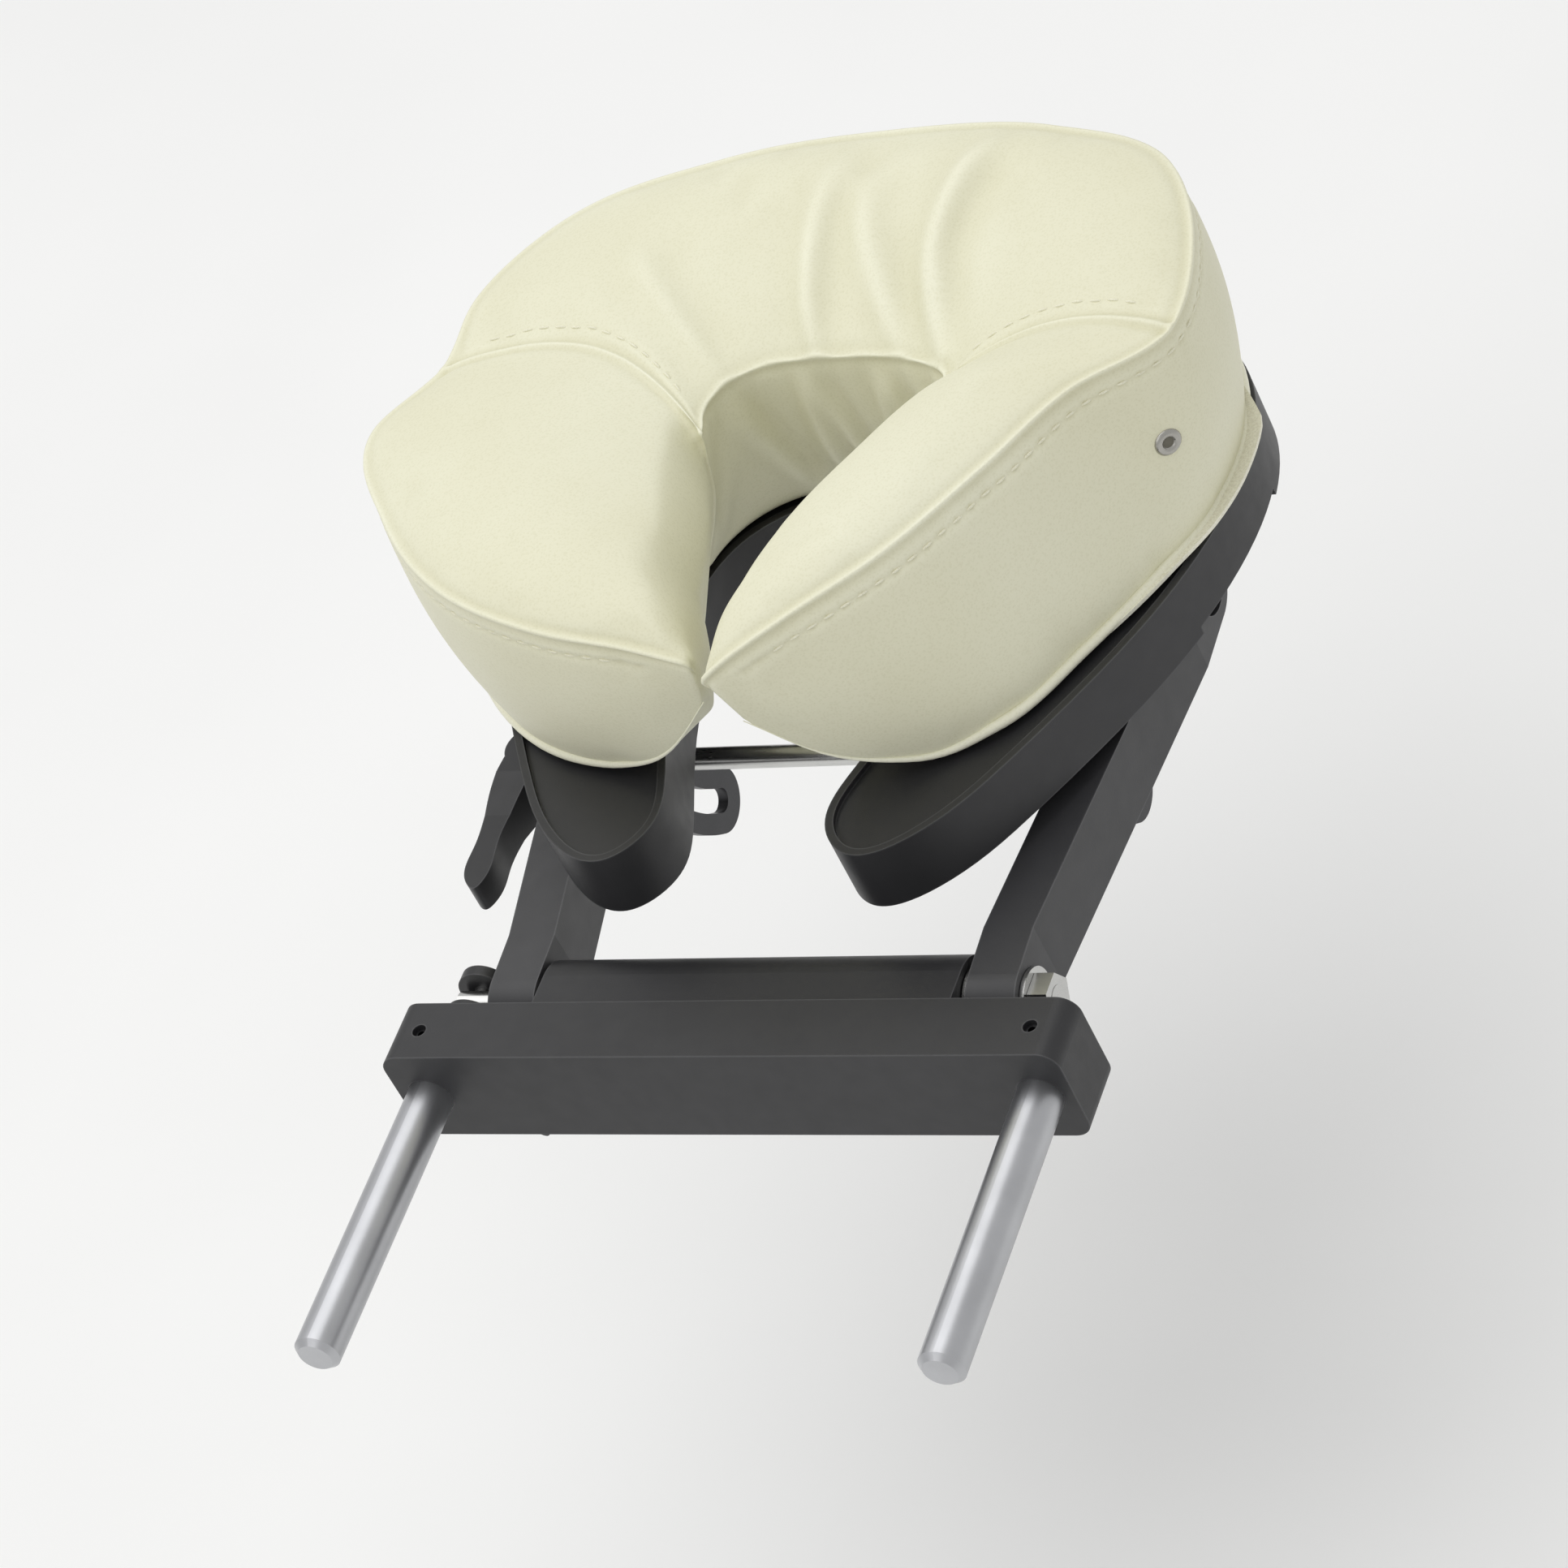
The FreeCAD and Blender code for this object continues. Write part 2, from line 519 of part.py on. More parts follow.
def far_region(bottom, top):
    """Everything on the far side of the seams that join the two lobes to the crest."""
    outer, middle, inner = [V(x, y, bottom) for x, y in LOBE_SEAM]
    behind = 330
    seam = Part.Arc(inner, middle, outer).toShape()
    rest = Part.makePolygon([outer, V(outer.x, behind, bottom), V(0, behind, bottom)])
    front = Part.makeLine(V(0, inner.y, bottom), inner)
    right = Part.Wire([front, seam] + rest.Edges)
    return Part.Face(Part.Wire([right, mirrored(right)])).extrude(V(0, 0, top - bottom))


def cover_top():
    return prism(CUSHION, CUSHION_TOP - COVER, CUSHION_TOP)


def cover_top_crest():
    return cover_top().common(far_region(CUSHION_TOP - 10, CUSHION_TOP + 10))


def cover_top_lobe(side):
    lobes = cover_top().cut(far_region(CUSHION_TOP - 10, CUSHION_TOP + 10))
    return lobes.common(box(min(0, side * 200), max(0, side * 200), 0, 400, 0, 200))


def side_wall():
    """Boxing all round the cushion, one cover's thickness deep."""
    wall = prism(CUSHION, BOARD_BOTTOM, FOAM_TOP)
    return wall.cut(prism(inset(CUSHION, COVER), BOARD_BOTTOM - 5, FOAM_TOP + 5))


def around_hole():
    """Space that holds the wall of the face opening and none of the outer wall."""
    return box(-60, 60, TIP_SEAM_Y, 250, 0, 200)


def boxing_inner():
    return side_wall().common(around_hole())


def boxing_outer(x0, x1, y0, y1):
    """Outer boxing between two cross seams."""
    return side_wall().cut(around_hole()).common(box(x0, x1, y0, y1, 0, 200))


def cover_bottom():
    return prism(inset(CUSHION, 0.4), CUSHION_BOTTOM, CUSHION_BOTTOM + COVER)


def base_board():
    return prism(inset(CUSHION, COVER + GAP), BOARD_BOTTOM, BOARD_BOTTOM + BOARD_THICKNESS)


def foam_core():
    return prism(inset(CUSHION, COVER + GAP), FOAM_BOTTOM, FOAM_TOP)


def bottom_welt():
    """Piping that follows the lower edge of the boxing."""
    z = CUSHION_BOTTOM + 4
    welt = prism(inset(CUSHION, -WELT_WIDTH), z, z + WELT_HEIGHT)
    return welt.cut(prism(inset(CUSHION, -0.1), z - 5, z + WELT_HEIGHT + 5))


def vent_eyelets():
    """Metal vent rings in the boxing, one each side, standing square to it."""
    x, y = CUSHION[EYELET_POINT]
    outward = outward_normal(CUSHION, (x, y))
    start = V(x, y, CUSHION_BOTTOM + EYELET_HEIGHT) + outward * 0.35
    ring = Part.makeCylinder(EYELET_RADIUS, EYELET_THICKNESS, start, outward)
    bore = Part.makeCylinder(EYELET_RADIUS * 0.45, 9, start - outward * 3, outward)
    ring = ring.cut(bore)
    return Part.makeCompound([ring, mirrored(ring)])


def export_all():
    os.makedirs("parts", exist_ok=True)
    right_bolt = pivot_bolt()
    right_quadrant = quadrant()
    parts = {
        "base_crossbar": base_crossbar(), "peg_left": peg(-1), "peg_right": peg(1),
        "peg_screws": peg_screws(), "base_axle": base_axle(), "base_axle_nut": base_axle_nut(),
        "base_washers": base_washers(), "lower_cam_pad": lower_cam_pad(),
        "lower_cam_pin": at_lower_cam(cam_pin()), "lower_cam_lever": at_lower_cam(cam_lever()),
        "arm_left": arm_left(), "arm_right": arm_right(),
        "pivot_bolt_left": mirrored(right_bolt), "pivot_bolt_right": right_bolt,
        "pivot_nuts": pivot_nuts(), "pivot_spacers": pivot_spacers(),
        "clamp_rod": clamp_rod(), "friction_discs": friction_discs(), "clamp_nuts": clamp_nuts(),
        "upper_cam_pad": upper_cam_pad(), "upper_cam_pin": at_upper_cam(cam_pin()),
        "upper_cam_lever": at_upper_cam(cam_lever()),
        "platform_tray": platform_tray(), "quadrant_left": mirrored(right_quadrant),
        "quadrant_right": right_quadrant, "quadrant_screws": quadrant_screws(),
        "hook_strips": fastener_strips(PLATE_TOP, PLATE_TOP + STRIP_THICKNESS),
        "loop_strips": fastener_strips(CUSHION_BOTTOM - STRIP_THICKNESS, CUSHION_BOTTOM),
        "cushion_board": base_board(), "foam_core": foam_core(), "cover_bottom": cover_bottom(),
        "cover_top_left_lobe": cover_top_lobe(-1), "cover_top_right_lobe": cover_top_lobe(1),
        "cover_top_crest": cover_top_crest(), "boxing_inner": boxing_inner(),
        "boxing_left_lobe": boxing_outer(-200, 0, 0, CREST_SEAM_Y),
        "boxing_right_lobe": boxing_outer(0, 200, 0, CREST_SEAM_Y),
        "boxing_crest": boxing_outer(-200, 200, CREST_SEAM_Y, 400),
        "bottom_welt": bottom_welt(), "vent_eyelets": vent_eyelets(),
    }
    for name, shape in parts.items():
        shape.exportStep("parts/" + name + ".step")


export_all()
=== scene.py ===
import json
import math

import bmesh
import bpy
import numpy as np
from mathutils import Matrix, Vector
from mathutils.bvhtree import BVHTree
from mathutils.kdtree import KDTree


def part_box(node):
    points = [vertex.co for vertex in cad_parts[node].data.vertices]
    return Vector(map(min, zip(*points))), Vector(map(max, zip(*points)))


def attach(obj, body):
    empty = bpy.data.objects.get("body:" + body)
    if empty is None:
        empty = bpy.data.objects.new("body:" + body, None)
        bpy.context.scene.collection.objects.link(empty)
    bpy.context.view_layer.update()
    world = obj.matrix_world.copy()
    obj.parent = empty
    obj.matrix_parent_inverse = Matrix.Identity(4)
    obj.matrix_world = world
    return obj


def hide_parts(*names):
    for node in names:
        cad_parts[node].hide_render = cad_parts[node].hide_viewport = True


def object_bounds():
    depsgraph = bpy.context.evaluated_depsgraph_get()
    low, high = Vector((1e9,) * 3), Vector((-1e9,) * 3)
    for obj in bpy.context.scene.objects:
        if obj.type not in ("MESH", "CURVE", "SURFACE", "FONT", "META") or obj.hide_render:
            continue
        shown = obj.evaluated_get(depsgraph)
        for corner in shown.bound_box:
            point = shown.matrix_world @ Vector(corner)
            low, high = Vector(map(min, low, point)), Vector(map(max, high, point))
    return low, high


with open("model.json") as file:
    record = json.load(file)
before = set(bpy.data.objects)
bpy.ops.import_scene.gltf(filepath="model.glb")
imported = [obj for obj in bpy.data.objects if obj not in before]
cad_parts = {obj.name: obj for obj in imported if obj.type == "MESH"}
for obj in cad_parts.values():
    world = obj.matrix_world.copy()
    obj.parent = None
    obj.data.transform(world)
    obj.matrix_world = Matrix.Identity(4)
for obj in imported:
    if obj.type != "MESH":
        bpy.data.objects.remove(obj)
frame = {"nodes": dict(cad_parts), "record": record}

# Face cradle cushion for a massage table: a sewn vinyl horseshoe on a tilting platform with two arms,
# a base with pegs and two quick-release levers. Everything is in metres, in the frame of the CAD model:
# +X to the user's right, +Y away from the table, +Z up.

MM = 0.001
CAD_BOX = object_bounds()

# The cushion stands between these heights
FOOT_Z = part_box("cover_bottom")[0].z
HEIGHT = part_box("cover_top_crest")[1].z - FOOT_Z

# Cross-sections of the cushion, from the left lobe's tip over the crest to the right lobe's tip.
# Each has the outer top seam, the inner top edge, the outer foot and the inner foot, as x and y in
# millimetres and height as a share of HEIGHT, then the crown of its top and its bow along the horseshoe.
RIBS = [
    ((8, 81, 0.80), (8, 87, 0.79), (2, 86, 0.52), (2, 91, 0.53), 0, 0),
    ((-12, 83, 0.87), (4, 102, 0.85), (-20, 89, 0.24), (-10, 104, 0.27), 5, 0),
    ((-46, 87, 0.94), (-2, 122, 0.86), (-49, 97, 0.04), (-30, 116, 0.07), 9, 0),
    ((-86, 103, 0.98), (-4, 142, 0.86), (-84, 109, 0), (-44, 134, 0), 12, 0),
    ((-122, 137, 1.00), (-9, 159, 0.86), (-118, 138, 0), (-50, 154, 0), 12, 4),
    ((-145, 182, 1.00), (-15, 172, 0.86), (-139, 179, 0), (-53, 172, 0), 10, 12),
    ((-129, 211, 1.00), (-21, 183, 0.86), (-127, 206, 0), (-53, 188, 0), 7, 19),
    ((-127, 245, 1.02), (-25, 194, 0.86), (-126, 238, 0), (-50, 201, 0), 9, 12),
    ((-102, 282, 1.04), (-22, 206, 0.86), (-104, 274, 0), (-41, 215, 0), 10, 4),
    ((-48, 304, 1.05), (-9, 215, 0.86), (-54, 294, 0), (-22, 226, 0), 10, 0),
    ((12, 311, 1.05), (13, 217, 0.86), (8, 303, 0), (6, 229, 0), 10, 0),
    ((76, 307, 1.04), (40, 215, 0.86), (72, 299, 0), (32, 225, 0), 10, 0),
    ((124, 286, 1.03), (57, 209, 0.86), (118, 281, 0), (46, 214, 0), 10, -3),
    ((144, 248, 1.02), (63, 203, 0.86), (134, 242, 0), (53, 203, 0), 9, -6),
    ((148, 207, 1.00), (61, 196, 0.87), (133, 207, 0), (55, 191, 0), 7, -9),
    ((120, 181, 1.00), (48, 184, 0.88), (122, 178, 0), (54, 178, 0), 10, -3),
    ((99, 148, 0.99), (33, 160, 0.88), (105, 144, 0), (50, 157, 0), 11, 0),
    ((72, 111, 0.97), (21, 136, 0.87), (84, 112, 0), (43, 134, 0), 10, 0),
    ((46, 90, 0.93), (15, 113, 0.86), (58, 95, 0.04), (34, 112, 0.07), 7, 0),
    ((27, 78, 0.87), (13, 98, 0.84), (36, 84, 0.24), (24, 98, 0.28), 4, 0),
    ((15, 73, 0.80), (14, 80, 0.78), (20, 77, 0.52), (18, 83, 0.54), 0, 0),
]
LEFT_JUNCTION = 6
RIGHT_JUNCTION = 14

STATION_STEP = 3.2 * MM
WALL_BULGE = 3.5 * MM
BOXING_BULGE = 4.5 * MM
TIP_TAPER = 30 * MM
EDGE_ROLL = 8 * MM
ROLL_PASSES = 70
SWELL_CAP = 6.0 * MM
# The share of any inward move that the filling keeps, so that it leaves no dents
INWARD_SHARE = 0.1

# Places along each panel, closer together where it meets a seam
INNER_WALL = (0, 0.03, 0.08, 0.16, 0.26, 0.37, 0.48, 0.59, 0.70, 0.80, 0.88, 0.93, 0.965, 0.985)
TOP = (0, 0.015, 0.03, 0.055, 0.10, 0.16, 0.23, 0.30, 0.375, 0.45, 0.525, 0.60, 0.675, 0.75, 0.815, 0.87,
       0.915, 0.95, 0.972, 0.987)
BOXING = (0, 0.012, 0.025, 0.045, 0.07, 0.09, 0.105, 0.12, 0.14, 0.18, 0.24, 0.32, 0.41, 0.50, 0.59, 0.68,
          0.77, 0.85, 0.91, 0.95, 0.975)
UNDERSIDE = (0, 0.04, 0.12, 0.24, 0.38, 0.52, 0.66, 0.80, 0.92)

# Sewing
STITCH_PITCH = 6.5 * MM
STITCH_LENGTH = 4.4 * MM
STITCH_DROP = 9.0 * MM
JUNCTION_STITCH = 8.0 * MM
THREAD_RADIUS = 0.5 * MM
STITCH_SINK = 0.8 * MM
JUNCTION_SINK = 0.25 * MM
WELT_RADIUS = 2.0 * MM
# Stations over which the welt thins out towards each tip
WELT_FADE = 18
# Radius of the vent rings as a share of the CAD eyelets'
RING_SHARE = 0.72
FLAP_REACH = 8.0 * MM
FLAP_LIFT = 3.0 * MM
FLAP_THICKNESS = 1.4 * MM
FLAP_STATIONS = (-14, 22)

# Folds that the crest's top gathers into, as x and y in millimetres from the back to the face opening,
# with the height of each fold and of the hollow beside it
FOLDS = [
    (((3, 302), (1, 269), (4, 238), (12, 213)), 2.2, 1.8),
    (((14, 292), (19, 264), (31, 238), (43, 216)), 1.6, 1.5),
    (((63, 307), (53, 283), (49, 253), (53, 232), (60, 212)), 2.8, 2.2),
    (((-72, 262), (-48, 234), (-22, 208)), 1.2, 1.2),
]
PLEATS_X = (-19, -6, 9, 23, 38, 52)


# Materials ----------------------------------------------------------------------------------------

def srgb(red, green, blue):
    """Linear colour from the usual 0 to 255 values."""
    shares = [value / 255 for value in (red, green, blue)]
    return [s / 12.92 if s <= 0.04045 else ((s + 0.055) / 1.055) ** 2.4 for s in shares] + [1.0]


class Surface:
    """A node-based material with the few building blocks that every finish here uses."""

    def __init__(self, name, roughness, metallic=0.0):
        self.material = bpy.data.materials.new(name)
        self.material.use_nodes = True
        self.nodes = self.material.node_tree.nodes
        self.links = self.material.node_tree.links
        self.shader = self.nodes["Principled BSDF"]
        self.shader.inputs["Roughness"].default_value = roughness
        self.shader.inputs["Metallic"].default_value = metallic
        self.place = self.nodes.new("ShaderNodeTexCoord").outputs["Object"]
        self.height = None

    def noise(self, scale, detail=3.0, stretch=None):
        texture = self.nodes.new("ShaderNodeTexNoise")
        texture.inputs["Scale"].default_value = scale
        texture.inputs["Detail"].default_value = detail
        source = self.place
        if stretch:
            mapping = self.nodes.new("ShaderNodeMapping")
            mapping.inputs["Scale"].default_value = stretch
            self.links.new(source, mapping.inputs["Vector"])
            source = mapping.outputs["Vector"]
        self.links.new(source, texture.inputs["Vector"])
        return texture.outputs["Fac"]

    def cells(self, scale):
        texture = self.nodes.new("ShaderNodeTexVoronoi")
        texture.feature = "SMOOTH_F1"
        texture.inputs["Scale"].default_value = scale
        self.links.new(self.place, texture.inputs["Vector"])
        return texture.outputs["Distance"]

    def ramp(self, source, stops):
        node = self.nodes.new("ShaderNodeValToRGB")
        for number, (place, colour) in enumerate(stops):
            if number < 2:
                element = node.color_ramp.elements[number]
                element.position = place
            else:
                element = node.color_ramp.elements.new(place)
            element.color = colour
        self.links.new(source, node.inputs["Fac"])
        return node.outputs["Color"]

    def mix(self, kind, share, first, second):
        node = self.nodes.new("ShaderNodeMixRGB")
        node.blend_type = kind
        node.inputs["Fac"].default_value = share
        self.links.new(first, node.inputs["Color1"])
        self.links.new(second, node.inputs["Color2"])
        return node.outputs["Color"]

    def edges(self, low, high, hollow, edge):
        """Painted shade: a tint that changes from the hollows to the exposed edges of the shape, darker in
        the hollows where shade would fall.
        """
        pointiness = self.nodes.new("ShaderNodeNewGeometry").outputs["Pointiness"]
        return self.ramp(pointiness, [(low, hollow), (high, edge)])

    def painted_edge_highlight(self, base, edge_highlight):
        """Painted highlight: paler where a hard edge turns, found from how a rounded normal leaves the flat
        one.
        """
        rounded = self.nodes.new("ShaderNodeBevel")
        rounded.samples = 4
        rounded.inputs["Radius"].default_value = 0.9 * MM
        flat = self.nodes.new("ShaderNodeNewGeometry").outputs["Normal"]
        dot = self.nodes.new("ShaderNodeVectorMath")
        dot.operation = "DOT_PRODUCT"
        self.links.new(rounded.outputs["Normal"], dot.inputs[0])
        self.links.new(flat, dot.inputs[1])
        spread = self.nodes.new("ShaderNodeMapRange")
        spread.inputs["From Min"].default_value = 0.995
        spread.inputs["From Max"].default_value = 0.90
        self.links.new(dot.outputs["Value"], spread.inputs["Value"])
        mix = self.nodes.new("ShaderNodeMixRGB")
        self.links.new(spread.outputs["Result"], mix.inputs["Fac"])
        self.links.new(base, mix.inputs["Color1"])
        mix.inputs["Color2"].default_value = edge_highlight
        return mix.outputs["Color"]

    def colour(self, source):
        self.links.new(source, self.shader.inputs["Base Color"])

    def roughen(self, source, low, high):
        spread = self.nodes.new("ShaderNodeMapRange")
        spread.inputs["To Min"].default_value = low
        spread.inputs["To Max"].default_value = high
        self.links.new(source, spread.inputs["Value"])
        self.links.new(spread.outputs["Result"], self.shader.inputs["Roughness"])

    def bump(self, source, depth, strength=1.0):
        """Adds relief of a depth in metres on top of any relief already there."""
        node = self.nodes.new("ShaderNodeBump")
        node.inputs["Distance"].default_value = depth
        node.inputs["Strength"].default_value = strength
        self.links.new(source, node.inputs["Height"])
        if self.height:
            self.links.new(self.height, node.inputs["Normal"])
        self.height = node.outputs["Normal"]
        self.links.new(self.height, self.shader.inputs["Normal"])


def vinyl(name, pale, deep):
    """Soft upholstery vinyl: fine pebbled grain, low sheen, and painted shade that makes it slightly darker
    in the creases and along the seams.
    """
    surface = Surface(name, 0.45)
    patches = surface.ramp(surface.noise(9, 4.0), [(0.35, deep), (0.65, pale)])
    grain = surface.cells(1100)
    pores = surface.ramp(grain, [(0.0, srgb(236, 235, 226)), (0.45, srgb(255, 255, 255))])
    # seams is painted shade: the vinyl darkens where the skin curves into creases and along the seams, found
    # from pointiness.
    seams = surface.edges(0.44, 0.53, srgb(212, 208, 184), srgb(255, 255, 255))
    surface.colour(surface.mix("MULTIPLY", 0.7, surface.mix("MULTIPLY", 0.5, patches, pores), seams))
    surface.roughen(surface.noise(60), 0.46, 0.60)
    surface.shader.inputs["Sheen Weight"].default_value = 0.08
    surface.bump(surface.noise(30, 2.0), 0.25 * MM, 0.12)
    surface.bump(grain, 0.09 * MM, 0.5)
    return surface.material


def moulded(name, colour, edge_highlight, roughness):
    """Moulded plastic: fine spark texture and paler edges painted as a highlight."""
    surface = Surface(name, roughness)
    blotches = surface.ramp(surface.noise(22), [(0.3, colour), (0.75, [c * 1.25 for c in colour[:3]] + [1])])
    # The edges turn paler here as a painted highlight.
    surface.colour(surface.painted_edge_highlight(blotches, edge_highlight))
    surface.roughen(surface.noise(130), roughness - 0.07, roughness + 0.09)
    surface.bump(surface.noise(2400, 2.0), 0.06 * MM, 0.5)
    return surface.material


def metal(name, colour, roughness, stretch=(1, 1, 1)):
    """Turned or plated metal with fine tool marks."""
    surface = Surface(name, roughness, 1.0)
    dull = [c * 0.92 for c in colour[:3]] + [1]
    surface.colour(surface.ramp(surface.noise(70, 4.0), [(0.35, dull), (0.65, colour)]))
    marks = surface.noise(900, 3.0, stretch)
    surface.roughen(marks, roughness - 0.03, roughness + 0.07)
    surface.bump(marks, 0.01 * MM, 0.3)
    return surface.material


def tape(name, colour, dark, scale, relief=0.5 * MM):
    """Hook or loop tape: a dense pile in rows."""
    surface = Surface(name, 0.9)
    pile = surface.noise(scale, 2.0)
    surface.colour(surface.ramp(pile, [(0.35, dark), (0.6, colour)]))
    surface.bump(pile, relief, 0.8)
    return surface.material


def spun_thread():
    """Sewing thread with the twist of its strands."""
    surface = Surface("cream_thread", 0.7)
    strands = surface.noise(2600, 2.0, (1, 1, 0.4))
    surface.colour(surface.ramp(strands, [(0.3, srgb(222, 219, 193)), (0.6, srgb(236, 234, 212))]))
    surface.bump(strands, 0.05 * MM, 0.5)
    return surface.material


def pressed_fibre():
    """Pressed fibre washer board: dark flecks in a brown sheet."""
    surface = Surface("pressed_fibre", 0.75)
    flecks = surface.noise(700, 4.0)
    surface.colour(surface.ramp(flecks, [(0.35, srgb(58, 40, 32)), (0.65, srgb(112, 78, 58))]))
    surface.bump(flecks, 0.1 * MM, 0.7)
    return surface.material


CREAM = vinyl("cream_vinyl", srgb(236, 235, 212), srgb(230, 228, 202))
PIPING = vinyl("piping_vinyl", srgb(240, 239, 218), srgb(234, 232, 208))
THREAD = spun_thread()
BACKING = tape("backing_fabric", srgb(240, 238, 222), srgb(226, 223, 205), 1300, 0.1 * MM)
EYELET_METAL = metal("nickel_eyelet", srgb(178, 176, 170), 0.26)
# The vent bore's grey is painted shade: it stands for the dark inside of each vent hole.
BORE_SHADE = moulded("vent_bore_painted_shade", srgb(104, 101, 90), srgb(120, 117, 104), 0.8)
# In each moulded finish the second colour is its painted edge highlight.
FINISHES = {
    "black_plastic": moulded("black_plastic", srgb(36, 36, 38), srgb(78, 78, 80), 0.46),
    "arm_plastic": moulded("arm_plastic", srgb(52, 52, 54), srgb(92, 92, 94), 0.42),
    "lever_plastic": moulded("lever_plastic", srgb(30, 30, 32), srgb(74, 74, 76), 0.40),
    "alloy": metal("satin_alloy", srgb(190, 191, 194), 0.34, (1, 0.06, 1)),
    "bright_steel": metal("bright_steel", srgb(205, 205, 203), 0.24, (0.08, 1, 1)),
    "dark_steel": metal("dark_steel", srgb(78, 78, 80), 0.40),
    "fibre": pressed_fibre(),
    "pale_hook": tape("hook_tape", srgb(226, 222, 202), srgb(176, 172, 150), 1500),
    "pale_loop": tape("loop_tape", srgb(232, 229, 210), srgb(190, 186, 164), 900),
}
BEVELS = {"platform_tray": 1.6, "arm_left": 1.6, "arm_right": 1.6, "base_crossbar": 1.4,
          "lower_cam_lever": 0.9, "upper_cam_lever": 0.9, "quadrant_left": 0.5, "quadrant_right": 0.5}


def finish_cad_nodes():
    """Gives each node of the frame its slot's finish, and the hard ones a rounded edge."""
    slots = {part["node"]: part["material_slot"] for part in frame["record"]["subparts"]}
    for name, thing in frame["nodes"].items():
        finish = FINISHES.get(slots[name])
        if finish is None:
            continue
        thing.data.materials.clear()
        thing.data.materials.append(finish)
        if name not in ("hook_strips", "loop_strips"):
            bevel = thing.modifiers.new("edge", "BEVEL")
            bevel.width = BEVELS.get(name, 0.35) * MM
            bevel.segments = 3
            bevel.limit_method = "ANGLE"
            bevel.angle_limit = math.radians(38)


# Cushion: shape -----------------------------------------------------------------------------------

def step(values, low, high):
    """0 below low, 1 above high, and a smooth rise between."""
    t = np.clip((values - low) / (high - low), 0, 1)
    return t * t * (3 - 2 * t)


def lengths_from(grid, axis, index):
    """Distance along the skin from one station or row."""
    steps = np.linalg.norm(np.diff(grid, axis=axis), axis=2)
    pad = [(0, 0), (0, 0)]
    pad[axis] = (1, 0)
    run = np.cumsum(np.pad(steps, pad), axis=axis)
    return run - np.take(run, [index], axis=axis)


def smooth_through(knots, values, places):
    """Smooth curve through values at knots, read at places."""
    slopes = np.gradient(values, knots, axis=0)
    spans = np.clip(np.searchsorted(knots, places, side="right") - 1, 0, len(knots) - 2)
    width = (knots[spans + 1] - knots[spans])[:, None]
    t = ((places - knots[spans])[:, None]) / width
    start, end = values[spans], values[spans + 1]
    rise, fall = slopes[spans] * width, slopes[spans + 1] * width
    return ((2 * t ** 3 - 3 * t ** 2 + 1) * start + (t ** 3 - 2 * t ** 2 + t) * rise
            + (-2 * t ** 3 + 3 * t ** 2) * end + (t ** 3 - t ** 2) * fall)


def rib_values():
    """One row of numbers per rib: four corners in metres, crown and bow."""
    rows = []
    for *corners, crown, bow in RIBS:
        row = []
        for x, y, share in corners:
            row += [x * MM, y * MM, FOOT_Z + share * HEIGHT]
        rows.append(row + [crown * MM, bow * MM])
    return np.array(rows)


def stations(values):
    """Places along the horseshoe, closer together at the two seams across it."""
    middles = (values[:, 0:2] + values[:, 3:5]) / 2
    knots = np.concatenate([[0], np.cumsum(np.linalg.norm(np.diff(middles, axis=0), axis=1))])
    count = int(knots[-1] / STATION_STEP)
    places = list(np.linspace(0, knots[-1], count))
    for rib in (LEFT_JUNCTION, RIGHT_JUNCTION):
        places = [p for p in places if abs(p - knots[rib]) > 4.5 * MM]
        places += [knots[rib] + offset * MM for offset in (-3.6, -1.9, -0.9, 0, 0.9, 1.9, 3.6)]
    places = np.array(sorted(places))
    seams = [int(np.argmin(abs(places - knots[rib]))) for rib in (LEFT_JUNCTION, RIGHT_JUNCTION)]
    return knots, places, seams


def panel(start, end, places):
    """Straight lines from start to end at each station, divided at the places given."""
    share = np.array(places)[None, :, None]
    return start[:, None, :] * (1 - share) + end[:, None, :] * share


def cushion_grid():
    """Points of the cushion's skin as stations by rows, and the row where each panel starts."""
    values = rib_values()
    knots, places, seams = stations(values)
    read = smooth_through(knots, values, places)
    seam, edge, foot, inner_foot = (read[:, n:n + 3] for n in (0, 3, 6, 9))
    crown, bow = read[:, 12], read[:, 13]
    out = (seam - edge) * [1, 1, 0]
    out /= np.linalg.norm(out, axis=1)[:, None]
    along = np.stack([out[:, 1], -out[:, 0], 0 * crown], axis=1)
    up = np.array([0, 0, 1.0])
    room = np.clip(np.minimum(places, places[-1] - places) / TIP_TAPER, 0, 1)

    def arch(shares, power=1.0):
        return (np.sin(np.pi * np.array(shares)) ** power)[None, :, None]

    wall = panel(inner_foot, edge, INNER_WALL)
    wall -= (out * (WALL_BULGE * room)[:, None])[:, None] * arch(INNER_WALL)
    top = panel(edge, seam, TOP) + (crown[:, None] * up)[:, None] * arch(TOP, 0.8)
    top += (along * bow[:, None])[:, None] * arch(TOP)
    boxing = panel(seam, foot, BOXING)
    boxing += (out * (BOXING_BULGE * room)[:, None])[:, None] * arch(BOXING)
    underside = panel(foot, inner_foot, UNDERSIDE)
    starts = np.cumsum([0, len(INNER_WALL), len(TOP), len(BOXING)])
    grid = np.concatenate([wall, top, boxing, underside], axis=1)
    return roll_edge(grid, starts[1], on_lobes(len(grid), seams)), starts, seams


def on_lobes(count, seams):
    """1 at the stations of the two lobes, 0 at those of the crest, with a short change between."""
    away = np.maximum(seams[0] - np.arange(count), np.arange(count) - seams[1])
    return step(away.astype(float), -1.0, 7.0)


